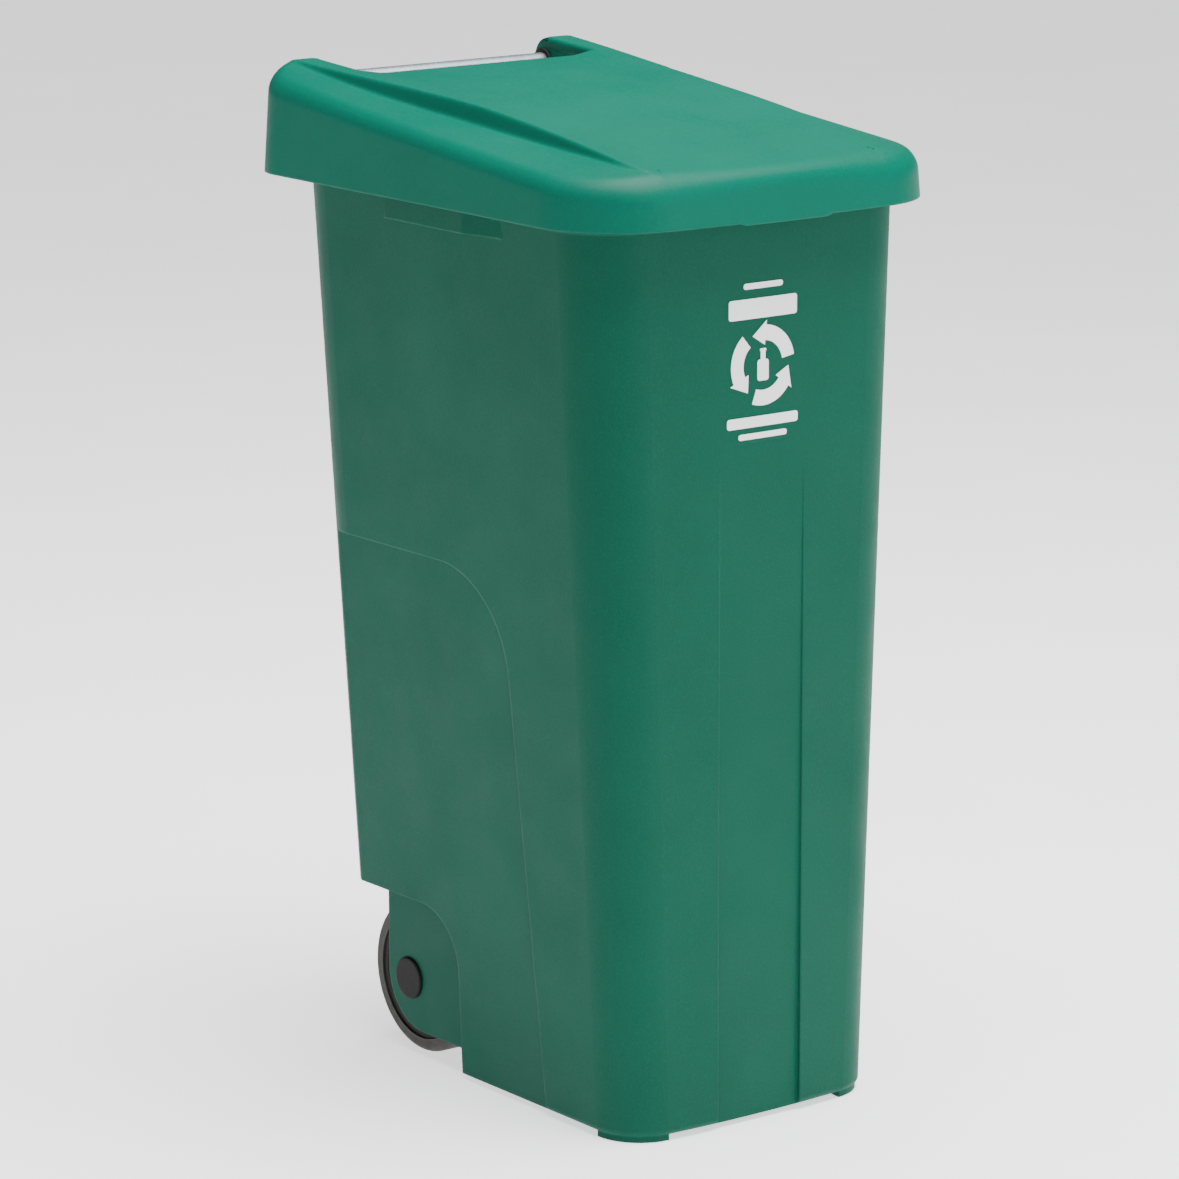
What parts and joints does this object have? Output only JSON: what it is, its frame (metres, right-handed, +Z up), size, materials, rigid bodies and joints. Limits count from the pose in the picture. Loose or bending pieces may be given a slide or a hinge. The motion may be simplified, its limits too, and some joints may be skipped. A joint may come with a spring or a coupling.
{
  "type": "wheeled refuse bin",
  "caption": "Tall tapered plastic bin on two wheels, with a sloping hinged lid and a metal handle tube across the rear.",
  "frame": {"origin": "centre of the bounding box's underside, on the floor", "axes": "+Z up, -Y towards the bin's front, +X to the right of someone who stands in front of it"},
  "size_m": [0.386, 0.514, 0.88],
  "materials": {
    "tub_plastic": "satin, fine moulded grain",
    "lid_plastic": "satin, fine moulded grain",
    "handle_metal": "satin anodised",
    "plug_plastic": "matt",
    "screw_steel": "zinc plated",
    "axle_steel": "zinc plated",
    "washer_steel": "zinc plated",
    "cap_plastic": "matt",
    "bush_plastic": "matt",
    "wheel_plastic": "satin",
    "tyre_rubber": "matt",
    "decal_film": "satin print"
  },
  "bodies": {
    "tub": {"tub": "tub_plastic", "handle_tube": "handle_metal", "handle_plug_left": "plug_plastic", "handle_plug_right": "plug_plastic", "handle_screws": "screw_steel", "axle": "axle_steel", "axle_washers": "washer_steel", "axle_cap_left": "cap_plastic", "axle_cap_right": "cap_plastic", "front_decal": "decal_film"},
    "lid": {"lid": "lid_plastic", "hinge_bush_left": "bush_plastic", "hinge_bush_right": "bush_plastic"},
    "wheel_left": {"wheel_left": "wheel_plastic", "tyre_left": "tyre_rubber"},
    "wheel_right": {"wheel_right": "wheel_plastic", "tyre_right": "tyre_rubber"}
  },
  "joints": [
    {"name": "lid_hinge", "type": "hinge", "parent": "tub", "child": "lid", "pos_m": [0, 0.243, 0.856], "axis": [-1, 0, 0], "range_deg": [0, 100]},
    {"name": "wheel_left_spin", "type": "hinge", "parent": "tub", "child": "wheel_left", "pos_m": [-0.1, 0.10605, 0.07], "axis": [1, 0, 0], "continuous": true},
    {"name": "wheel_right_spin", "type": "hinge", "parent": "tub", "child": "wheel_right", "pos_m": [0.1, 0.10605, 0.07], "axis": [1, 0, 0], "continuous": true}
  ]
}
